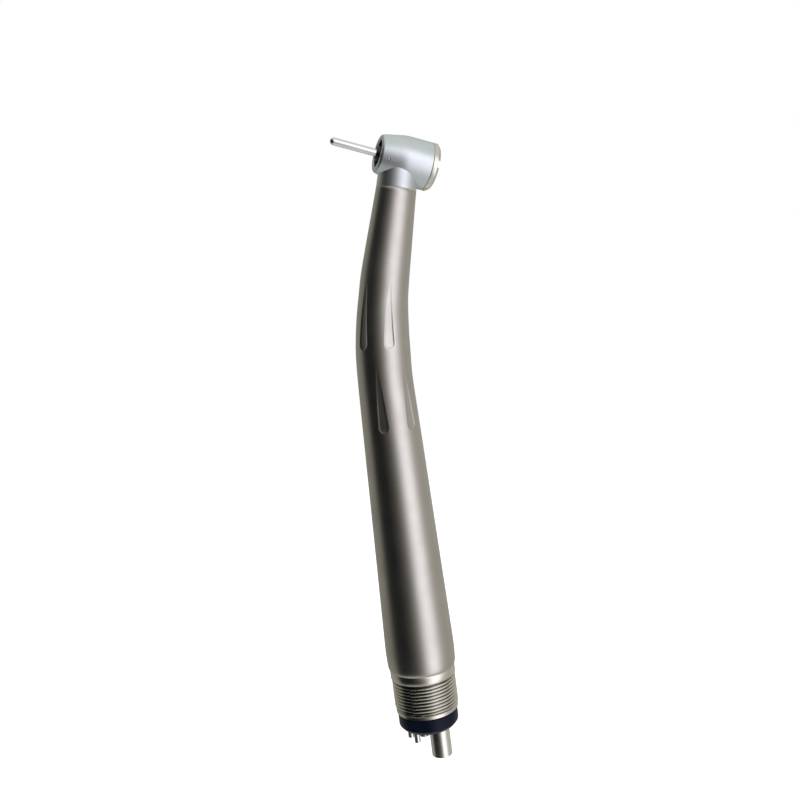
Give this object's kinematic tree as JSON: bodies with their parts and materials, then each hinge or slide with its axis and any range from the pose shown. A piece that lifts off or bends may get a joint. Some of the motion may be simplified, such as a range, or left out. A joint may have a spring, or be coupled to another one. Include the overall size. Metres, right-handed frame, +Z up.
{
  "type": "high speed handpiece",
  "caption": "Air-driven dental handpiece with bent fluted handle, push-button turbine head, fitted bur and threaded tube coupling at the rear.",
  "frame": {"origin": "centre of the gasket rear face, where the hose coupling seats", "axes": "+Z up the handle towards the head; the neck leans to +X and the bur points to -X and a little up; +Y is away from the camera"},
  "size_m": [0.025, 0.0148, 0.1335],
  "materials": {
    "handle_steel": "satin, finely brushed around",
    "head_steel": "bead-blasted, cool silver",
    "warm_steel": "satin turned steel",
    "tube_steel": "bright drawn tube",
    "bur_steel": "polished",
    "chuck_steel": "dark hardened steel",
    "race_steel": "ground",
    "rotor_steel": "machined",
    "spring_steel": "drawn wire and strip",
    "line_steel": "drawn tube",
    "dark_rubber": "matte",
    "cage_resin": "moulded resin"
  },
  "bodies": {
    "handle": {"handle_shell": "handle_steel", "head_housing": "head_steel", "channel_plug": "head_steel", "rear_connector": "warm_steel", "coupling_gasket": "dark_rubber", "exhaust_tube": "tube_steel", "drive_air_tube": "tube_steel", "water_tube": "tube_steel", "chip_air_tube": "tube_steel", "drive_air_line": "line_steel", "water_line": "line_steel", "chip_air_line": "line_steel", "back_cap": "warm_steel", "button_spring": "spring_steel", "front_outer_race": "race_steel", "rear_outer_race": "race_steel", "front_o_ring": "dark_rubber", "rear_o_ring": "dark_rubber", "preload_washer": "spring_steel", "front_shield": "dark_rubber"},
    "rotor": {"spindle": "rotor_steel", "impeller": "rotor_steel", "chuck_collet": "chuck_steel", "front_inner_race": "race_steel", "rear_inner_race": "race_steel"},
    "bur": {"test_bur": "bur_steel"},
    "button": {"push_button": "warm_steel"},
    "front_cage": {"front_ball_cage": "cage_resin"},
    "rear_cage": {"rear_ball_cage": "cage_resin"}
  },
  "joints": [
    {"name": "turbine_spin", "type": "hinge", "parent": "handle", "child": "rotor", "pos_m": [0.00919, 0, 0.11988], "axis": [-0.9432, 0, 0.3322], "continuous": true},
    {"name": "front_cage_spin", "type": "hinge", "parent": "handle", "child": "front_cage", "pos_m": [0.00919, 0, 0.11988], "axis": [-0.9432, 0, 0.3322], "continuous": true},
    {"name": "rear_cage_spin", "type": "hinge", "parent": "handle", "child": "rear_cage", "pos_m": [0.00919, 0, 0.11988], "axis": [-0.9432, 0, 0.3322], "continuous": true},
    {"name": "bur_slide", "type": "slide", "parent": "rotor", "child": "bur", "axis": [-0.9432, 0, 0.3322], "range_m": [0, 0.012]},
    {"name": "button_press", "type": "slide", "parent": "handle", "child": "button", "axis": [-0.9432, 0, 0.3322], "range_m": [0, 0.0005], "stiffness_N_per_m": 3000, "deforming": ["button_spring"]}
  ],
  "couplings": [
    {"joint": "front_cage_spin", "follows": "turbine_spin", "ratio": 0.39},
    {"joint": "rear_cage_spin", "follows": "turbine_spin", "ratio": 0.39}
  ]
}
